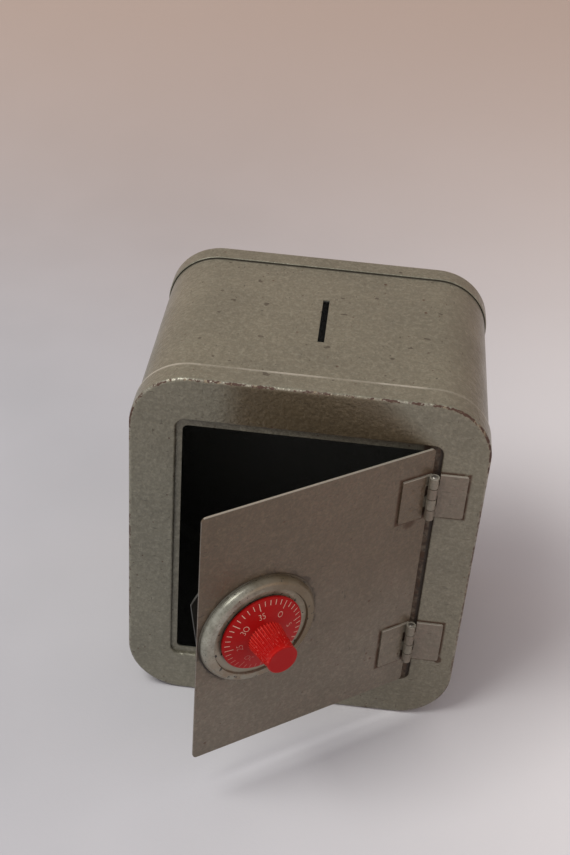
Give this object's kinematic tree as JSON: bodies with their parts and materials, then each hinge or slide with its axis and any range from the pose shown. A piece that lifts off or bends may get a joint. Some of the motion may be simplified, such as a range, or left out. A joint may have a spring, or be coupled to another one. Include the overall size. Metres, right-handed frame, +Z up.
{
  "type": "toy safe coin bank",
  "caption": "Small sheet-metal toy safe with rounded corners, a roof coin slot and a side-hinged door with a red combination dial and knob.",
  "frame": {"origin": "on the resting plane, in the middle of the strip on which the front cap's flange stands", "axes": "+Z up, -Y towards the door side (front), +X towards the hinge side; the door is stored open about 35 degrees"},
  "size_m": [0.131, 0.1582, 0.153],
  "materials": {
    "painted_front": "grey-olive hammered paint",
    "painted_wrapper": "grey-olive hammered paint",
    "painted_rear": "grey-olive hammered paint",
    "painted_door": "grey-olive hammered paint",
    "painted_hinge": "grey-olive hammered paint",
    "pin_steel": "dull drawn wire",
    "bezel_metal": "worn silver-grey paint",
    "bushing_brass": "dull",
    "zinc_steel": "dull zinc plate",
    "spring_steel": "dark spring steel",
    "lock_disc_steel": "dull sheared sheet",
    "red_plastic": "glossy red moulding"
  },
  "bodies": {
    "safe_body": {"front_panel": "painted_front", "body_wrapper": "painted_wrapper", "rear_cap": "painted_rear", "upper_hinge_frame_leaf": "painted_hinge", "lower_hinge_frame_leaf": "painted_hinge", "upper_hinge_pin": "pin_steel", "lower_hinge_pin": "pin_steel"},
    "door": {"door_panel": "painted_door", "upper_hinge_door_leaf": "painted_hinge", "lower_hinge_door_leaf": "painted_hinge", "dial_bezel": "bezel_metal", "dial_bushing": "bushing_brass", "door_backing_washer": "zinc_steel"},
    "dial": {"combination_dial": "red_plastic", "dial_spindle": "zinc_steel", "wave_washer": "spring_steel", "spacer_sleeve": "zinc_steel", "drive_disc": "lock_disc_steel", "stop_washer": "zinc_steel", "spindle_retainer": "spring_steel"}
  },
  "joints": [
    {"name": "door_hinge", "type": "hinge", "parent": "safe_body", "child": "door", "pos_m": [0.0462, -0.00822, 0], "axis": [0, 0, 1], "range_deg": [-35.2, 140]},
    {"name": "dial_turn", "type": "hinge", "parent": "door", "child": "dial", "pos_m": [-0.01137, -0.04614, 0.0772], "axis": [0.5764, -0.8171, 0], "continuous": true}
  ]
}
